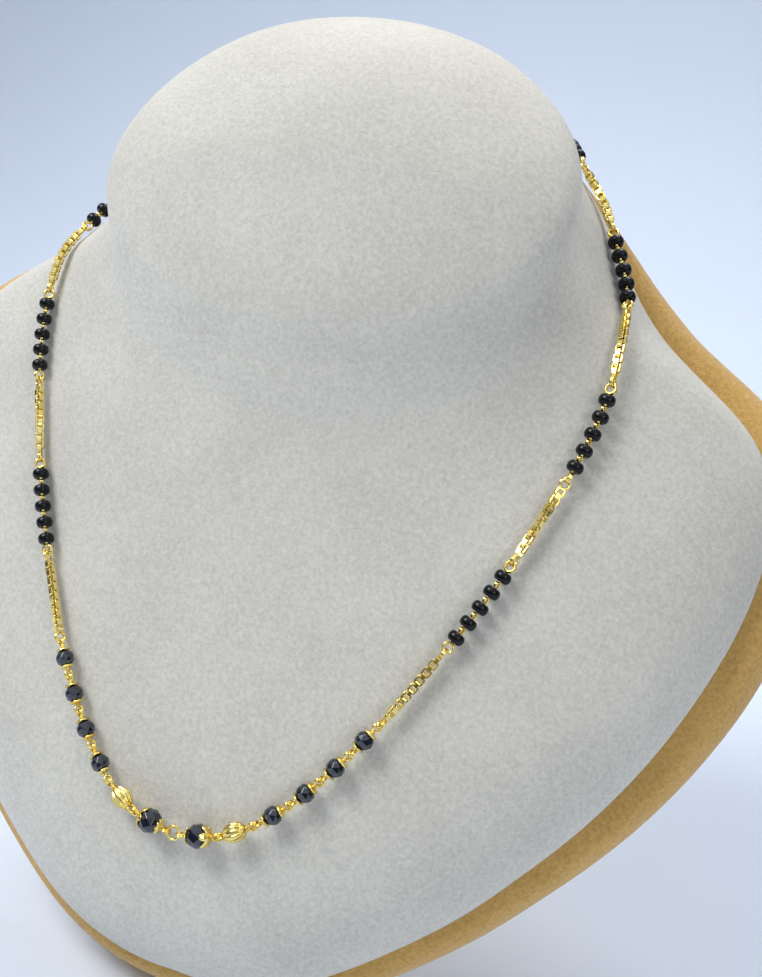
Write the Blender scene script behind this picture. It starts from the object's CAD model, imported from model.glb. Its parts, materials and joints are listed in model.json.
"""Mangalsutra necklace round a suede neck bust that leans back on its foot."""

import json
import math

import bmesh
import bpy
import numpy as np
from mathutils import Matrix, Vector

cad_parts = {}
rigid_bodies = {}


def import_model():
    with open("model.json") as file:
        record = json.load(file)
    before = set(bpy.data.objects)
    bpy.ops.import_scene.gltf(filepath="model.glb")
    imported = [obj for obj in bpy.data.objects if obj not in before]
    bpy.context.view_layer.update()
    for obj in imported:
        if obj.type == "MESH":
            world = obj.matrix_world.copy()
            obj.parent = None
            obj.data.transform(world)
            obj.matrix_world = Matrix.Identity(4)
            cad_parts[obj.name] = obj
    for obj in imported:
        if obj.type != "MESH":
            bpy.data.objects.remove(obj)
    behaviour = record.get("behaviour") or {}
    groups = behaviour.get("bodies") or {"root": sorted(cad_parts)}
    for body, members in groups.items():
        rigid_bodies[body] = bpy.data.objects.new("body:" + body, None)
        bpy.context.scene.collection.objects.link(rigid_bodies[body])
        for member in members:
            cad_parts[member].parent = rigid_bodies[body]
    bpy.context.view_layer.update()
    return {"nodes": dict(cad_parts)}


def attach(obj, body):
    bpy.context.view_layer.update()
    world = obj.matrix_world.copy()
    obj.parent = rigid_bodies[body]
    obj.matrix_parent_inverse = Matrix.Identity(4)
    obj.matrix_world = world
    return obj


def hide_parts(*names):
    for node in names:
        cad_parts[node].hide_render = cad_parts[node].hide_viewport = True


for leftover in list(bpy.data.objects):
    bpy.data.objects.remove(leftover)
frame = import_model()
nodes = frame["nodes"]

MM = 0.001
SIDES = ("right", "left")
SMALLS = 4
CHAINS = 5

# Sizes of the necklace's pieces, in millimetres, as in the part's source
BEAD_D, BEAD_L, WIRE_D, KNOT_D, EYE_D, EYE_GAP = 3.2, 2.1, 0.4, 1.2, 2.1, 0.15
LINK_W, LINK_DEPTH, LINK_PITCH, LINK_PLAY = 1.75, 0.85, 0.93, 0.2
LINK_L = 2 * LINK_PITCH - LINK_PLAY
RING_D, RING_WIRE, CENTRE_RING_D = 2.3, 0.36, 3.0
BIG_D, SMALL_D, LOOP_D, PIN_D = 4.6, 3.6, 1.7, 0.6
BIG_HALF, SMALL_HALF = BIG_D / 2 * 0.87, SMALL_D / 2 * 0.84
CAP_GAP, CAP_T, PETAL_T, PIN_NECK, LONG_NECK = 0.1, 0.35, 0.28, 0.35, 0.6
RIBBED_D, RIBBED_L, RIBBED_SINK = 3.7, 4.4, 0.26

# From the middle of a bead, or of a chain's last link, to the middle of the ring or loop past it
EYE_REACH = BEAD_L / 2 + EYE_GAP + EYE_D / 2
RING_REACH = (RING_D + LINK_L) / 2 - RING_WIRE / 2
SMALL_REACH = SMALL_HALF + CAP_GAP + CAP_T + PIN_NECK + LOOP_D / 2
SMALL_LONG_REACH = SMALL_REACH - PIN_NECK + LONG_NECK
BIG_REACH = BIG_HALF + CAP_GAP + PETAL_T + PIN_NECK + LOOP_D / 2
RIBBED_IN_REACH = RIBBED_L / 2 - RIBBED_SINK + LOOP_D / 2
RIBBED_OUT_REACH = RIBBED_L / 2 + LONG_NECK + LOOP_D / 2

# Rings as full as the photograph shows them: diameter and wire
KNOT_SHOWN, EYE_SHOWN, CHAIN_RING_SHOWN = (KNOT_D + 0.1, 0.38), (EYE_D + 0.25, 0.48), (RING_D, 0.42)
LOOP_SHOWN, WRAP_SHOWN, CENTRE_RING_SHOWN = (LOOP_D + 0.12, 0.42), (PIN_D + 0.42, 0.25), (CENTRE_RING_D, 0.54)
# Share of its own thickness by which a ring's second turn lies beside the first
TURN_PITCH = 0.8

# The board leans back. Its own zero is LIFT above the table and, along y, SHIFT from the frame's zero.
LEAN = math.radians(27)
LIFT, SHIFT = 73.0224, -16.4736

# Where the photograph is taken from: across the board, up it and out of it
CAMERA_BOARD = (76.79, 0.0, 210.0)
CAMERA_RIGHT = (0.9421, 0.3171, 0.1087)
CAMERA_AHEAD = (-0.2729, 0.9138, -0.3009)
FOCAL_PIXELS, IMAGE_HEIGHT, SENSOR = 1069.15, 977, 36


# Shader maths

# Sockets of the Mix node, whose names repeat for each kind of value
NUMBER_A, NUMBER_B = 2, 3
COLOUR_A, COLOUR_B, COLOUR_OUT = 6, 7, 2


class Val:
    """One output socket of a shader tree, with the arithmetic that the finishes use."""

    def __init__(self, shading, socket):
        self.shading, self.socket = shading, socket

    def _math(self, operation, *others):
        return self.shading.node("ShaderNodeMath", {"operation": operation}, list(others))

    def __add__(self, other):
        return self._math("ADD", self, other)

    __radd__ = __add__

    def __sub__(self, other):
        return self._math("SUBTRACT", self, other)

    def __rsub__(self, other):
        return self._math("SUBTRACT", other, self)

    def __mul__(self, other):
        return self._math("MULTIPLY", self, other)

    __rmul__ = __mul__

    def clamped(self, low, high, to_low=0.0, to_high=1.0):
        return self.shading.node("ShaderNodeMapRange", {"clamp": True}, [self, low, high, to_low, to_high])


class Shading:
    """A shader tree under construction."""

    def __init__(self, tree):
        self.tree = tree
        self.tree.nodes.clear()

    def node(self, kind, settings=None, inputs=None, output=0):
        """Adds a node. Settings come first, then values or links for its sockets."""
        made = self.tree.nodes.new(kind)
        for key, value in (settings or {}).items():
            setattr(made, key, value)
        pairs = inputs.items() if isinstance(inputs, dict) else enumerate(inputs or [])
        for key, value in pairs:
            if isinstance(value, Val):
                self.tree.links.new(value.socket, made.inputs[key])
            else:
                made.inputs[key].default_value = value
        return Val(self, made.outputs[output]) if made.outputs else None

    def blended(self, share, low, high):
        """Between two numbers."""
        return self.node("ShaderNodeMix", {"data_type": "FLOAT"}, {0: share, NUMBER_A: low, NUMBER_B: high})

    def mixed(self, share, low, high):
        """Between two colours, each of them three numbers or a socket."""
        low, high = (c if isinstance(c, Val) else (*c, 1) for c in (low, high))
        return self.node(
            "ShaderNodeMix", {"data_type": "RGBA"}, {0: share, COLOUR_A: low, COLOUR_B: high}, COLOUR_OUT
        )


class Finish(Shading):
    """A material under construction, with patterns that lie by the place on the piece."""

    def __init__(self, name):
        self.material = bpy.data.materials.new(name)
        self.material.use_nodes = True
        super().__init__(self.material.node_tree)
        self.place = self.node("ShaderNodeTexCoord", output="Object")

    def noise(self, scale, detail=3.0, roughness=0.55):
        return self.node(
            "ShaderNodeTexNoise",
            inputs={"Vector": self.place, "Scale": scale, "Detail": detail, "Roughness": roughness},
        )

    def bumped(self, height, distance, strength=1.0):
        return self.node(
            "ShaderNodeBump", inputs={"Height": height, "Distance": distance, "Strength": strength}
        )

    def surface(self, inputs):
        shader = self.node("ShaderNodeBsdfPrincipled", inputs=inputs)
        self.node("ShaderNodeOutputMaterial", inputs={"Surface": shader})
        return self.material


def suede(name, shade, tint, nap):
    """Short brushed nap: fine fibres that lean in patches, soft broad clouds of shade, and a few dark flecks."""
    cover = Finish(name)
    clouds = cover.noise(45, 4)
    patches = cover.noise(1200, 3, 0.65)
    fibres = cover.noise(3200, 2, 0.7)
    flecks = cover.noise(1500, 1, 0.5).clamped(0.68, 0.78)
    fleck_share, fleck_colour = 0.28, [0.72 * c for c in shade]
    share = (clouds * 0.25 + patches * 0.5 + fibres * 0.25).clamped(0.38, 0.62)
    return cover.surface({
        "Base Color": cover.mixed(flecks * fleck_share, cover.mixed(share, shade, tint), fleck_colour),
        "Roughness": 0.95 - patches * 0.08,
        "Normal": cover.bumped(fibres * 0.5 + patches * 0.5, nap),
        "Specular IOR Level": 0.15,
        "Sheen Weight": 0.25,
        "Sheen Roughness": 0.5,
    })


def gold_finish():
    """Polished yellow gold with faint wear marks."""
    gold = Finish("polished_gold")
    scuffs = gold.noise(1800, 3, 0.6)
    warmth = gold.noise(240, 2).clamped(0.4, 0.6)
    return gold.surface({
        "Base Color": gold.mixed(warmth, (0.79, 0.59, 0.15), (0.9, 0.73, 0.27)),
        "Metallic": 1.0,
        "Roughness": scuffs.clamped(0.35, 0.7, 0.13, 0.26),
        "Normal": gold.bumped(scuffs, 0.00001, 0.5),
    })


def glass_finish(name, dark, light, roughness, gloss, coat):
    """Opaque black glass: deep colour, clear gloss and a little surface haze."""
    glass = Finish(name)
    haze = glass.noise(900, 3)
    return glass.surface({
        "Base Color": glass.mixed(haze.clamped(0.35, 0.65), dark, light),
        "Roughness": haze.clamped(0.3, 0.7, *roughness),
        "Specular IOR Level": gloss,
        "Coat Weight": haze.clamped(0.2, 0.8, coat / 2, coat),
        "Coat Roughness": 0.05,
    })


PALE = suede("pale_suede", shade=(0.562, 0.541, 0.482), tint=(0.742, 0.717, 0.64), nap=0.00022)
TAN = suede("tan_suede", shade=(0.5, 0.295, 0.077), tint=(0.73, 0.46, 0.155), nap=0.00025)
FOOT = suede("foot_suede", shade=(0.36, 0.22, 0.07), tint=(0.5, 0.33, 0.13), nap=0.00022)
GOLD = gold_finish()
BLACK = glass_finish(
    "black_glass", dark=(0.002, 0.002, 0.0025), light=(0.004, 0.004, 0.005),
    roughness=(0.18, 0.28), gloss=0.2, coat=0.08,
)
FACETED = glass_finish(
    "faceted_glass", dark=(0.002, 0.003, 0.008), light=(0.006, 0.01, 0.022),
    roughness=(0.03, 0.07), gloss=0.75, coat=0.4,
)


# Directions and places, read from the frame's own solids


def unit(v):
    return v / np.linalg.norm(v)


def across(v):
    """Any direction square to v."""
    other = np.array([0, 0, 1.0]) if abs(v[2]) < 0.8 * np.linalg.norm(v) else np.array([0, 1.0, 0])
    return unit(np.cross(v, other))


def squared(v, along):
    """v without its share along another direction."""
    return unit(v - (v @ along) * along)


def main_axes(points):
    """The points' main directions as columns, from the thinnest to the longest."""
    centred = points - points.mean(0)
    return np.linalg.eigh(centred.T @ centred)[1]


def flat_axis(points):
    """The direction in which a ring, bead or link is thinnest."""
    return main_axes(points)[:, 0]


def middle_in(points, x_axis, z_axis):
    """Middle of the points' box in the frame of two axes."""
    z_axis = squared(z_axis, x_axis)
    axes = np.array([x_axis, np.cross(z_axis, x_axis), z_axis])
    turned = points @ axes.T
    return axes.T @ ((turned.min(0) + turned.max(0)) / 2)


def numbered(stem, count=CHAINS):
    """The names of nodes that each side has a row of."""
    return [f"{side}_{stem}_{i}" for side in SIDES for i in range(1, count + 1)]


def paired(*stems):
    """The names of nodes that each side has one of."""
    return [f"{side}_{stem}" for stem in stems for side in SIDES]


def node_points(node):
    data = nodes[node].data
    flat = np.zeros(len(data.vertices) * 3)
    data.vertices.foreach_get("co", flat)
    return flat.reshape(-1, 3)


def merged(node):
    """A node's mesh as a bmesh with its loose triangles joined."""
    bm = bmesh.new()
    bm.from_mesh(nodes[node].data)
    bmesh.ops.remove_doubles(bm, verts=bm.verts, dist=1e-7)
    return bm


def loose_parts(node):
    """The points of each separate solid in a node."""
    bm = merged(node)
    bm.verts.ensure_lookup_table()
    seen, found = set(), []
    for start in bm.verts:
        if start.index in seen:
            continue
        seen.add(start.index)
        stack, part = [start], []
        while stack:
            vert = stack.pop()
            part.append(vert.co.copy())
            for edge in vert.link_edges:
                other = edge.other_vert(vert)
                if other.index not in seen:
                    seen.add(other.index)
                    stack.append(other)
        found.append(np.array(part))
    bm.free()
    return found


def in_order(parts):
    """Parts in their order along the string, from one end."""
    middles = np.array([p.mean(0) for p in parts])
    far = np.linalg.norm(middles - middles.mean(0), axis=1).argmax()
    return [parts[i] for i in np.linalg.norm(middles - middles[far], axis=1).argsort()]


def ring_place(points, middle, diameter):
    """Place of a wire ring: its plane is read from the solid's points round its middle."""
    slack, enough = 0.02, 12
    near = points[np.linalg.norm(points - middle, axis=1) < (diameter / 2 + slack) * MM]
    normal = flat_axis(near) if len(near) > enough else across(np.array([1.0, 0, 0]))
    return middle, across(normal), normal


# Meshes


def finished(bm, name, material, smooth=True):
    mesh = bpy.data.meshes.new(name)
    bm.to_mesh(mesh)
    bm.free()
    mesh.polygons.foreach_set("use_smooth", [smooth] * len(mesh.polygons))
    mesh.materials.append(material)
    piece = bpy.data.objects.new(name, mesh)
    bpy.context.scene.collection.objects.link(piece)
    return piece


def gold_skin(name, rows, section_closed=False, smooth=True):
    """A closed skin through rows of equally many points: the last row closes on the first, or each end is capped."""
    bm = bmesh.new()
    made = [[bm.verts.new(p) for p in row] for row in rows]
    after = made[1:] + made[:1] if section_closed else made[1:]
    for first, second in zip(made, after):
        for corners in zip(first, first[1:] + first[:1], second[1:] + second[:1], second):
            bm.faces.new(corners)
    if not section_closed:
        bm.faces.new(made[0][::-1])
        bm.faces.new(made[-1])
    bmesh.ops.recalc_face_normals(bm, faces=bm.faces)
    return finished(bm, name, GOLD, smooth)


def joined(name, pieces, node_names, material):
    """Joins finished meshes into one piece that stands for the given nodes."""
    bm = bmesh.new()
    for piece in pieces:
        bm.from_mesh(piece.data)
    for face in bm.faces:
        face.material_index = 0
    mesh = bpy.data.meshes.new(name)
    bm.to_mesh(mesh)
    bm.free()
    mesh.materials.append(material)
    piece = bpy.data.objects.new(name, mesh)
    bpy.context.scene.collection.objects.link(piece)
    for old in pieces:
        bpy.data.objects.remove(old)
    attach(piece, "root")
    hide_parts(*node_names)
    return piece


# Geometry Nodes: a shape repeated at the places of a point cloud


def add_input(tree, name, kind, value=None):
    item = tree.interface.new_socket(name=name, in_out="INPUT", socket_type=kind)
    if value is not None:
        item.default_value = value
    return item.identifier


def tree_node(tree, kind, settings=None, links=None, values=None):
    made = tree.nodes.new(kind)
    for key, value in (settings or {}).items():
        setattr(made, key, value)
    for key, value in (values or {}).items():
        made.inputs[key].default_value = value
    for key, socket in (links or {}).items():
        tree.links.new(socket, made.inputs[key])
    return made


def new_tree(name, sizes):
    """A tree with the point cloud, the finish and named sizes as its inputs."""
    tree = bpy.data.node_groups.new(name, "GeometryNodeTree")
    tree.interface.new_socket(name="Geometry", in_out="OUTPUT", socket_type="NodeSocketGeometry")
    ids = {"Places": add_input(tree, "Places", "NodeSocketGeometry")}
    ids["Finish"] = add_input(tree, "Finish", "NodeSocketMaterial")
    for key, (kind, value) in sizes.items():
        ids[key] = add_input(tree, key, kind, value)
    return tree, ids, tree.nodes.new("NodeGroupInput")


def spread(tree, entry, shape):
    """Ends a tree: the shape on every place, turned to its two axes, as one real mesh."""
    z_axis, x_axis = (
        tree_node(tree, "GeometryNodeInputNamedAttribute", {"data_type": "FLOAT_VECTOR"}, values={"Name": key})
        for key in ("lie_z", "lie_x")
    )
    turn = tree_node(
        tree, "FunctionNodeAxesToRotation", {"primary_axis": "Z", "secondary_axis": "X"},
        {0: z_axis.outputs["Attribute"], 1: x_axis.outputs["Attribute"]},
    )
    spreads = tree_node(
        tree, "GeometryNodeInstanceOnPoints", None,
        {"Points": entry.outputs["Places"], "Instance": shape, "Rotation": turn.outputs[0]},
    )
    real = tree_node(tree, "GeometryNodeRealizeInstances", None, {0: spreads.outputs[0]})
    painted = tree_node(
        tree, "GeometryNodeSetMaterial", None, {"Geometry": real.outputs[0], "Material": entry.outputs["Finish"]}
    )
    tree_node(tree, "NodeGroupOutput", None, {0: painted.outputs[0]})


def ring_tree():
    """Round wire rings with a named diameter and wire thickness."""
    tree, ids, entry = new_tree("wire_rings", {
        "Ring diameter": ("NodeSocketFloat", RING_D * MM),
        "Wire diameter": ("NodeSocketFloat", RING_WIRE * MM),
        "Steps round": ("NodeSocketInt", 32),
        "Steps across": ("NodeSocketInt", 10),
    })
    ring_half, wire_half = (
        tree_node(tree, "ShaderNodeMath", {"operation": "MULTIPLY"}, {0: entry.outputs[key]}, {1: 0.5}).outputs[0]
        for key in ("Ring diameter", "Wire diameter")
    )
    middle = tree_node(tree, "ShaderNodeMath", {"operation": "SUBTRACT"}, {0: ring_half, 1: wire_half})
    path = tree_node(
        tree, "GeometryNodeCurvePrimitiveCircle", {"mode": "RADIUS"},
        {"Resolution": entry.outputs["Steps round"], "Radius": middle.outputs[0]},
    )
    wire = tree_node(
        tree, "GeometryNodeCurvePrimitiveCircle", {"mode": "RADIUS"},
        {"Resolution": entry.outputs["Steps across"], "Radius": wire_half},
    )
    skin = tree_node(
        tree, "GeometryNodeCurveToMesh", None, {"Curve": path.outputs[0], "Profile Curve": wire.outputs[0]}
    )
    smooth = tree_node(tree, "GeometryNodeSetShadeSmooth", None, {0: skin.outputs[0]})
    spread(tree, entry, smooth.outputs[0])
    return tree, ids


def shape_tree():
    """Any small shape, repeated."""
    tree, ids, entry = new_tree("repeated_shape", {"Shape": ("NodeSocketObject", None)})
    shape = tree_node(
        tree, "GeometryNodeObjectInfo", {"transform_space": "ORIGINAL"}, {"Object": entry.outputs["Shape"]}
    )
    spread(tree, entry, shape.outputs["Geometry"])
    return tree, ids


RING_TREE = ring_tree()
SHAPE_TREE = shape_tree()


def spread_piece(name, tree_and_ids, places, material, sizes):
    """Runs a tree on places given as (middle, x axis, z axis) and returns a plain mesh object."""
    tree, ids = tree_and_ids
    cloud = bpy.data.meshes.new(name + "_places")
    cloud.from_pydata([tuple(p[0]) for p in places], [], [])
    for key, column in (("lie_x", 1), ("lie_z", 2)):
        attribute = cloud.attributes.new(key, "FLOAT_VECTOR", "POINT")
        attribute.data.foreach_set("vector", np.array([p[column] for p in places], float).ravel())
    carrier = bpy.data.objects.new(name + "_carrier", cloud)
    bpy.context.scene.collection.objects.link(carrier)
    modifier = carrier.modifiers.new("spread", "NODES")
    modifier.node_group = tree
    modifier[ids["Finish"]] = material
    for key, value in sizes.items():
        modifier[ids[key]] = value
    bpy.context.view_layer.update()
    graph = bpy.context.evaluated_depsgraph_get()
    mesh = bpy.data.meshes.new_from_object(carrier.evaluated_get(graph))
    piece = bpy.data.objects.new(name, mesh)
    bpy.context.scene.collection.objects.link(piece)
    bpy.data.objects.remove(carrier)
    return piece


def repeated(name, shape, places, material):
    piece = spread_piece(name, SHAPE_TREE, places, material, {"Shape": shape})
    bpy.data.objects.remove(shape)
    return piece


def rings(name, shown, places, round_steps=32, across_steps=10, turns=1):
    """Round rings of one wire, or of two turns of it side by side."""
    diameter, wire = shown
    beside = [
        (middle + (k - (turns - 1) / 2) * TURN_PITCH * wire * MM * flat, run, flat)
        for middle, run, flat in places for k in range(turns)
    ]
    return spread_piece(name, RING_TREE, beside, GOLD, {
        "Ring diameter": diameter * MM, "Wire diameter": wire * MM,
        "Steps round": round_steps, "Steps across": across_steps,
    })


# Small shapes, drawn in millimetres with their run along x


def angles_round(steps):
    return [2 * math.pi * k / steps for k in range(steps)]


def off_axis(x, radius, angle):
    """A place beside the x axis."""
    return Vector((x, radius * math.cos(angle), radius * math.sin(angle))) * MM


def turned_shape(name, profile, steps, flute=None):
    """A ring of revolution round x. Profile: x and radius, going round the section."""
    return gold_skin(name, [
        [off_axis(x, radius * (flute(a, radius) if flute else 1), a) for a in angles_round(steps)]
        for x, radius in profile
    ], section_closed=True)


def black_bead_shape():
    """A flattened round bead with a softly rolled edge at its hole."""
    hole, half, profile_steps, steps = 0.3, 0.94 * BEAD_L / 2, 22, 36
    side = (BEAD_D / 2 - hole) / 2
    profile = [(half * math.sin(a), hole + side * (1 + math.cos(a))) for a in angles_round(profile_steps)]
    return turned_shape("bead_shape", profile, steps)


def box_link_shape():
    """A strip of metal bent into a box with rounded corners and softened edges."""
    corner, corner_steps, strip, soft = 0.42, 5, 0.32, 0.06
    half, inner = LINK_DEPTH / 2, corner - strip
    section = [
        (corner, -half + soft), (corner, half - soft), (corner - soft, half), (inner + soft, half),
        (inner, half - soft), (inner, -half + soft), (inner + soft, -half), (corner - soft, -half),
    ]
    rows = []
    for x, y, start in ((1, 1, 0), (-1, 1, 90), (-1, -1, 180), (1, -1, 270)):
        middle = Vector((x * (LINK_L / 2 - corner), y * (LINK_W / 2 - corner), 0))
        for k in range(corner_steps):
            a = math.radians(start + 90 * k / (corner_steps - 1))
            out = Vector((math.cos(a), math.sin(a), 0))
            rows.append([(middle + out * r + Vector((0, 0, z))) * MM for r, z in section])
    return gold_skin("link_shape", rows, section_closed=True, smooth=False)


def faceted_shape(name, diameter, half):
    """A cut bead: staggered rows of facets that run to a small flat at each end."""
    # Each row of corners: share of the half length, share of the radius
    cuts = ((-1, 0.5), (-0.56, 0.87), (0, 1), (0.56, 0.87), (1, 0.5))
    facets, edge = 8, 0.03
    bm = bmesh.new()
    rows = []
    for i, (along, share) in enumerate(cuts):
        angles = [math.pi / facets * (i % 2 + 2 * k) for k in range(facets)]
        rows.append([bm.verts.new(off_axis(half * along, diameter / 2 * share, a)) for a in angles])
    for i, (first, second) in enumerate(zip(rows, rows[1:])):
        for a, b, c, d in zip(first, first[1:] + first[:1], second, second[1:] + second[:1]):
            for corners in ((a, b, c), (b, d, c)) if i % 2 == 0 else ((a, d, c), (a, b, d)):
                bm.faces.new(corners)
    bm.faces.new(rows[0][::-1])
    bm.faces.new(rows[-1])
    bmesh.ops.recalc_face_normals(bm, faces=bm.faces)
    bmesh.ops.bevel(bm, geom=bm.edges[:], offset=edge * MM, segments=1, affect="EDGES", clamp_overlap=True)
    return finished(bm, name, FACETED, smooth=False)


def petal_cap_shape(name, valley, tip, petals=6):
    """A thin round cup on the end of a large bead, towards x, cut into petals at its edge.

    Valley and tip are where the edge lies between two petals and at a petal's point, in degrees from x.
    """
    inner, thick, hole = BIG_D / 2 + 0.07, 0.26, math.radians(9)
    vein_depth, vein_width = 0.05, 0.03
    steps, rises = 96, 9

    def at(angle, share, outside):
        petal = abs(math.cos(petals / 2 * angle))
        edge = math.radians(valley + (tip - valley) * petal ** 0.8)
        bend = hole + (edge - hole) * share
        vein = vein_depth * math.exp(-(((1 - petal) / vein_width) ** 2)) * math.sin(math.pi * share)
        r = inner + (thick * (1 - 0.5 * share ** 3) - vein if outside else 0)
        return off_axis(r * math.cos(bend), r * math.sin(bend), angle)

    rows = [[at(a, i / rises, False) for a in angles_round(steps)] for i in range(rises + 1)]
    rows += [[at(a, i / rises, True) for a in angles_round(steps)] for i in range(rises, -1, -1)]
    return gold_skin(name, rows, section_closed=True)


def ribbed_shape():
    """A lantern bead: broad bright ridges between narrow grooves that close before the ends."""
    # Along the bead: share of the half length, share of the radius
    outline = ((-1, 0.42), (-0.72, 0.74), (-0.36, 0.94), (0, 1), (0.36, 0.94), (0.72, 0.74), (1, 0.42))
    shares, sizes = zip(*outline)
    ribs, groove, sharpness = 10, 0.17, 2.2
    groove_end, groove_point, groove_fade = 0.86, 0.12, 0.16
    steps, rises = 120, 32
    rows = []
    for i in range(rises + 1):
        along = -1 + 2 * i / rises
        base = float(np.interp(along, shares, sizes))
        row = []
        for a in angles_round(steps):
            ridge = abs(math.sin(ribs / 2 * a))
            reach = min(1, max(0, (groove_end - abs(along) - groove_point * ridge) / groove_fade))
            share = base - groove * (1 - ridge) ** sharpness * reach
            row.append(off_axis(RIBBED_L / 2 * along, RIBBED_D / 2 * share, a))
        rows.append(row)
    return gold_skin("ribbed_shape", rows)


def cap_shape():
    """A thin, slightly cupped disc with a finely fluted edge."""
    outer, hole, thick, dish, edge_share = 1.3, 0.28, 0.34, 0.2, 0.6
    flutes, flute_depth, flute_from = 16, 0.025, 1.1
    steps, rises = 64, 6
    radii = [hole + (outer - hole) * k / rises for k in range(rises + 1)]
    near = [(dish * (r / outer) ** 2, r) for r in radii]
    far = [(x - thick * (edge_share if r == radii[-1] else 1), r) for x, r in near][::-1]

    def flute(angle, radius):
        return 1 + (flute_depth * math.cos(flutes * angle) if radius > flute_from else 0)

    return turned_shape("cap_shape", near + far, steps, flute)


def rod_piece(name, start, end, diameter):
    """A round rod with closed ends between two places."""
    steps = 14
    axis = unit(end - start)
    side = across(axis)
    other = np.cross(axis, side)
    edge = [diameter / 2 * MM * (math.cos(a) * side + math.sin(a) * other) for a in angles_round(steps)]
    return gold_skin(name, [[place + e for e in edge] for place in (start, end)])


# The bead strings and box chains


def string_beads(node):
    """Middle and run of each bead of a string, in order, with every run towards the last bead."""
    beads = []
    for part in in_order(loose_parts(node)):
        axis = flat_axis(part)
        beads.append((middle_in(part, axis, across(axis)), axis))
    run = unit(beads[-1][0] - beads[0][0])
    return [(middle, axis if axis @ run > 0 else -axis) for middle, axis in beads]


STRINGS = [string_beads(node) for node in numbered("bead_string")]


def make_black_beads():
    places = [(middle, axis, across(axis)) for beads in STRINGS for middle, axis in beads]
    joined("black_beads", [
        repeated("beads", black_bead_shape(), places, BLACK),
    ], numbered("bead_string"), BLACK)


def make_box_chains():
    """Each chain's links, and a double ring past each end. A chain's last link and its ring are one solid."""
    links, end_rings = [], []
    for node in numbered("box_chain"):
        parts = in_order(loose_parts(node))
        rough = [p.mean(0) for p in parts]
        chain = []
        for k in range(1, len(parts) - 1):
            run = unit(rough[min(k + 1, len(parts) - 2)] - rough[max(k - 1, 1)])
            flat = squared(flat_axis(parts[k]), run)
            chain.append((middle_in(parts[k], run, flat), run, flat))
        links += chain
        for sign, near, after in ((-1, chain[0], chain[1]), (1, chain[-1], chain[-2])):
            middle = 2 * near[0] - after[0]
            run = sign * unit(middle - near[0])
            flat = squared(after[2], run)
            links.append((middle, run, flat))
            end_rings.append((middle + sign * RING_REACH * MM * run, run, flat))
    joined("box_chains", [
        repeated("links", box_link_shape(), links, GOLD),
        rings("chain_rings", CHAIN_RING_SHOWN, end_rings, turns=2),
    ], numbered("box_chain"), GOLD)


def make_string_wires():
    """Each string's wire: a rod through every bead, a knot between two beads and an eye past each end."""
    thick, out_of_bead, out_of_last = WIRE_D + 0.12, 0.18, 0.3
    knots, eyes, rods = [], [], []
    for beads, node in zip(STRINGS, numbered("string_wire")):
        points = node_points(node)
        for (first, _), (second, _) in zip(beads, beads[1:]):
            knots.append(ring_place(points, (first + second) / 2, KNOT_D))
        for (middle, axis), sign in ((beads[0], -1), (beads[-1], 1)):
            eyes.append(ring_place(points, middle + sign * EYE_REACH * MM * axis, EYE_D))
        for k, (middle, axis) in enumerate(beads):
            back, on = (
                (BEAD_L / 2 + (out_of_last if k == last else out_of_bead)) * MM for last in (0, len(beads) - 1)
            )
            rods.append(rod_piece("rod", middle - back * axis, middle + on * axis, thick))
    joined("string_wires", [
        rings("knots", KNOT_SHOWN, knots, round_steps=24, turns=2),
        rings("eyes", EYE_SHOWN, eyes, turns=2),
        *rods,
    ], numbered("string_wire"), GOLD)


# The front of the necklace

CENTRE = node_points("centre_ring").mean(0)


def outward_axis(points):
    """The piece's long axis, pointing away from the middle of the necklace."""
    axis = main_axes(points)[:, 2]
    return axis if axis @ (points.mean(0) - CENTRE) > 0 else -axis


class Pins:
    """The pins through the front's beads."""

    def __init__(self):
        self.rods, self.loops, self.wraps = [], [], []

    def add(self, points, middle, axis, inner, outer):
        """A pin through a bead, with a loop at each end and two turns of wire round each neck."""
        thick, wrap_in, wrap_pitch, rod_on = PIN_D * 0.8, 0.1, 0.24, 0.1
        ends = []
        for sign, reach in ((-1, inner), (1, outer)):
            neck = reach - LOOP_D / 2
            self.loops.append(ring_place(points, middle + sign * reach * MM * axis, LOOP_D))
            for turn in (0, 1):
                place = middle + sign * (neck - wrap_in - turn * wrap_pitch) * MM * axis
                self.wraps.append((place, across(axis), axis))
            ends.append(middle + sign * (neck + rod_on) * MM * axis)
        self.rods.append(rod_piece("pin", *ends, thick))


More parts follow.
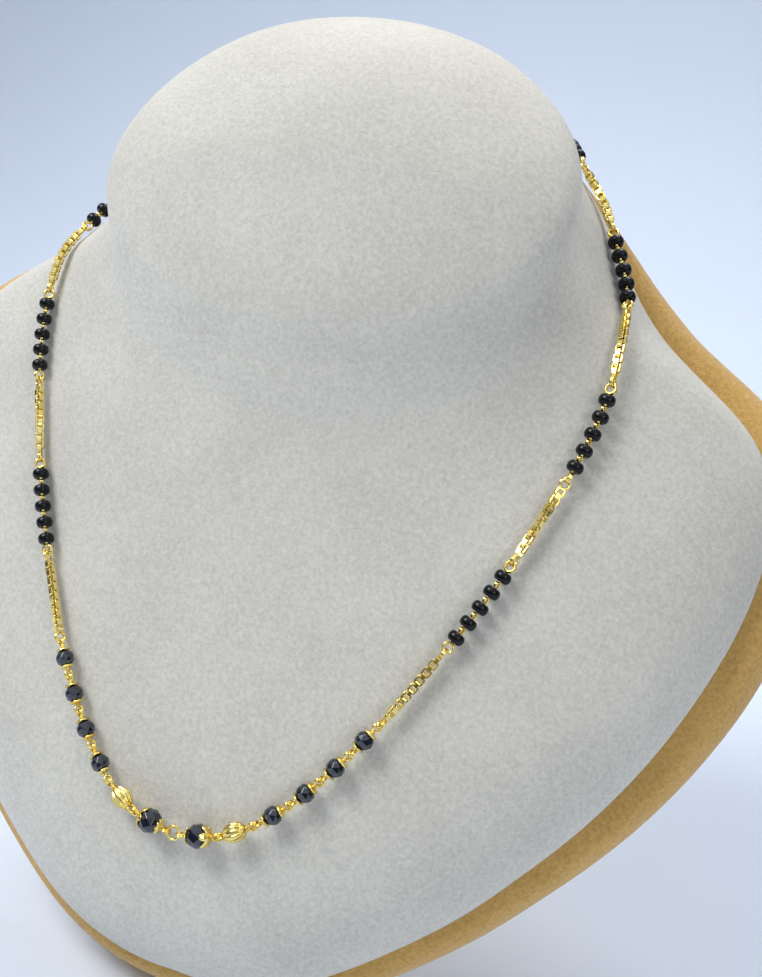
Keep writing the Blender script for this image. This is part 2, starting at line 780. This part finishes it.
def make_front():
    """Faceted and ribbed beads on their pins, from the middle outward on each side."""
    cap_out = SMALL_HALF + 0.2
    pins = Pins()
    big, collars, small, caps, lanterns = [], [], [], [], []
    for side in SIDES:
        points = node_points(f"{side}_big_pin")
        axis = outward_axis(points)
        middle = middle_in(node_points(f"{side}_big_bead"), axis, across(axis))
        big.append((middle, axis, across(axis)))
        collars.append((middle, -axis, across(axis)))
        pins.add(points, middle, axis, BIG_REACH, BIG_REACH)
        for i in range(1, SMALLS + 1):
            points = node_points(f"{side}_small_pin_{i}")
            axis = outward_axis(points)
            middle = middle_in(node_points(f"{side}_small_bead_{i}"), axis, across(axis))
            small.append((middle, axis, across(axis)))
            for sign in (-1, 1):
                caps.append((middle + sign * cap_out * MM * axis, -sign * axis, across(axis)))
            pins.add(points, middle, axis, SMALL_LONG_REACH if i == 1 else SMALL_REACH, SMALL_REACH)
        points = node_points(f"{side}_ribbed_bead")
        axis = outward_axis(points)
        inner_end = (points @ axis).min()
        middle = middle_in(points, axis, across(axis))
        middle = middle + (inner_end + (RIBBED_IN_REACH + LOOP_D / 2) * MM - middle @ axis) * axis
        lanterns.append((middle, axis, across(axis)))
        pins.add(points, middle, axis, RIBBED_IN_REACH, RIBBED_OUT_REACH)

    joined("faceted_beads", [
        repeated("big", faceted_shape("big_shape", BIG_D, BIG_HALF), big, FACETED),
        repeated("small", faceted_shape("small_shape", SMALL_D, SMALL_HALF), small, FACETED),
    ], paired("big_bead") + numbered("small_bead", SMALLS), FACETED)
    joined("front_metal", [
        repeated("cups", petal_cap_shape("cup_shape", valley=34, tip=64), big, GOLD),
        repeated("collars", petal_cap_shape("collar_shape", valley=30, tip=40, petals=10), collars, GOLD),
        repeated("caps", cap_shape(), caps, GOLD),
        repeated("lanterns", ribbed_shape(), lanterns, GOLD),
        rings("loops", LOOP_SHOWN, pins.loops, turns=2),
        rings("wraps", WRAP_SHOWN, pins.wraps, round_steps=24, across_steps=8),
        *pins.rods,
    ], paired("big_pin", "ribbed_bead") + numbered("small_pin", SMALLS), GOLD)


def make_centre_ring():
    flat = flat_axis(node_points("centre_ring"))
    joined("middle_ring", [
        rings("ring", CENTRE_RING_SHOWN, [(CENTRE, across(flat), flat)], round_steps=48, across_steps=14),
    ], ["centre_ring"], GOLD)


# The bust

# The neck's foot on the board, as in the part's source: width, length and how far up the board it lies
NECK_W, NECK_L, NECK_Y = 92.8, 77.0, 84.0
# How far the crease there reaches, as a share of the neck, how often it is smoothed, and where that fades out
CREASE_REACH, CREASE_ROUNDS = 0.26, 16
CREASE_END, CREASE_FULL = 84.0, 62.0


def by_neck(place):
    """How much the crease at the neck's foot is filled at a place: 1 on the chest, 0 by the necklace."""
    x = place.x / MM
    y = (place.y / MM - SHIFT) * math.sin(LEAN) + (place.z / MM - LIFT) * math.cos(LEAN)
    if abs(math.hypot(2 * x / NECK_W, 2 * (y - NECK_Y) / NECK_L) - 1) > CREASE_REACH:
        return 0
    return max(0, min(1, (CREASE_END - y) / (CREASE_END - CREASE_FULL)))


def fill_crease(bm, share_at):
    """Rounds a hollow crease out. A place only moves outward, by its share."""
    bm.normal_update()
    near = [v for v in bm.verts if share_at(v.co) > 0]
    start = [(v.co.copy(), v.normal.copy(), share_at(v.co)) for v in near]
    for _ in range(CREASE_ROUNDS):
        bmesh.ops.smooth_vert(bm, verts=near, factor=0.5, use_axis_x=True, use_axis_y=True, use_axis_z=True)
    for v, (place, normal, share) in zip(near, start):
        v.co = place + normal * max(0, normal.dot(v.co - place)) * share


def softened(name, node, material, crease=None):
    """A node's form with its facets turned into one smooth padded skin."""
    bm = merged(node)
    bmesh.ops.join_triangles(bm, faces=bm.faces, angle_face_threshold=0.7, angle_shape_threshold=1.2)
    if crease:
        fill_crease(bm, crease)
    piece = finished(bm, name, material)
    smooth = piece.modifiers.new("smooth", "SUBSURF")
    smooth.levels = smooth.render_levels = 1
    bpy.context.view_layer.update()
    mesh = bpy.data.meshes.new_from_object(piece.evaluated_get(bpy.context.evaluated_depsgraph_get()))
    piece.modifiers.clear()
    piece.data = mesh
    mesh.polygons.foreach_set("use_smooth", [True] * len(mesh.polygons))
    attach(piece, "root")
    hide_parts(node)
    return piece


def dress(node, material):
    """Gives a carried-over node its finish."""
    data = nodes[node].data
    data.materials.clear()
    data.materials.append(material)


# Camera, light and floor


def board_place(x, y, z):
    """A place on the leaning board, in metres in the frame."""
    return Vector((
        x,
        y * math.sin(LEAN) - z * math.cos(LEAN) + SHIFT,
        y * math.cos(LEAN) + z * math.sin(LEAN) + LIFT,
    )) * MM


def make_camera():
    data = bpy.data.cameras.new("camera")
    data.sensor_fit = "VERTICAL"
    data.sensor_height = data.sensor_width = SENSOR
    data.lens = FOCAL_PIXELS / IMAGE_HEIGHT * SENSOR
    data.clip_start = 0.005
    camera = bpy.data.objects.new("camera", data)
    bpy.context.scene.collection.objects.link(camera)
    right = Vector(CAMERA_RIGHT).normalized()
    forward = Vector(CAMERA_AHEAD).normalized()
    up = right.cross(forward).normalized()
    turn = Matrix((right, up, -forward)).transposed()
    camera.matrix_world = Matrix.Translation(board_place(*CAMERA_BOARD)) @ turn.to_4x4()
    bpy.context.scene.camera = camera
    bpy.context.scene.view_settings.view_transform = "Standard"


def make_floor():
    """A plain pale sheet that bends up behind the bust, greyer the higher it is."""
    plain = Finish("pale_floor")
    height = plain.node("ShaderNodeSeparateXYZ", inputs={"Vector": plain.place}, output=2).clamped(0.0, 0.5)
    material = plain.surface({
        "Base Color": plain.mixed(height, (0.78, 0.86, 0.99), (0.44, 0.48, 0.54)), "Roughness": 0.85,
    })
    front, back, half, high, bend, bend_steps = -1.2, 0.75, 1.6, 1.5, 0.3, 10
    profile = [(front, 0.0), (back - bend, 0.0)]
    for k in range(1, bend_steps + 1):
        a = math.radians(90 * k / bend_steps)
        profile.append((back - bend + bend * math.sin(a), bend - bend * math.cos(a)))
    profile.append((back, high))
    bm = bmesh.new()
    left, right = [[bm.verts.new((x, y, z)) for y, z in profile] for x in (-half, half)]
    for k in range(len(profile) - 1):
        bm.faces.new((left[k], right[k], right[k + 1], left[k + 1]))
    finished(bm, "floor", material)


def make_light(name, place, size, power, colour):
    """A soft round light that faces the middle of the bust."""
    target = Vector((0, 0, 0.1))
    data = bpy.data.lights.new(name, "AREA")
    data.shape, data.size, data.energy, data.color = "DISK", size, power, colour
    light = bpy.data.objects.new(name, data)
    bpy.context.scene.collection.objects.link(light)
    light.location = place
    light.rotation_euler = (target - Vector(place)).to_track_quat("-Z", "Y").to_euler()


def light_room():
    """The room round it all: even, and for reflections darker below and bright above."""
    world = bpy.data.worlds.new("room_light")
    bpy.context.scene.world = world
    world.use_nodes = True
    room = Shading(world.node_tree)
    way = room.node("ShaderNodeTexCoord", output="Generated")
    height = room.node("ShaderNodeSeparateXYZ", inputs={"Vector": way}, output=2)
    reflected = room.node("ShaderNodeLightPath", output="Is Glossy Ray")
    seen = room.node("ShaderNodeLightPath", output="Is Camera Ray")
    strength = room.blended(reflected, 0.2, height.clamped(0.2, 0.75, 0.12, 1.1))
    background = room.node(
        "ShaderNodeBackground", inputs={"Color": (0.8, 0.86, 1.0, 1), "Strength": room.blended(seen, strength, 0.75)}
    )
    room.node("ShaderNodeOutputWorld", inputs={"Surface": background})


make_black_beads()
make_box_chains()
make_string_wires()
make_front()
make_centre_ring()
softened("pale_form", "bust_front", PALE, by_neck)
softened("tan_board", "bust_board", TAN)
dress("bust_foot", FOOT)
dress("clasp", GOLD)

make_camera()
make_floor()
make_light("window", (-0.5, -0.3, 0.85), 0.45, 7, (0.98, 0.99, 1.0))
make_light("room", (0.75, -0.6, 0.5), 0.5, 2, (1.0, 0.98, 0.95))
make_light("above", (0.1, 0.35, 0.95), 0.5, 5, (0.97, 0.98, 1.0))
light_room()
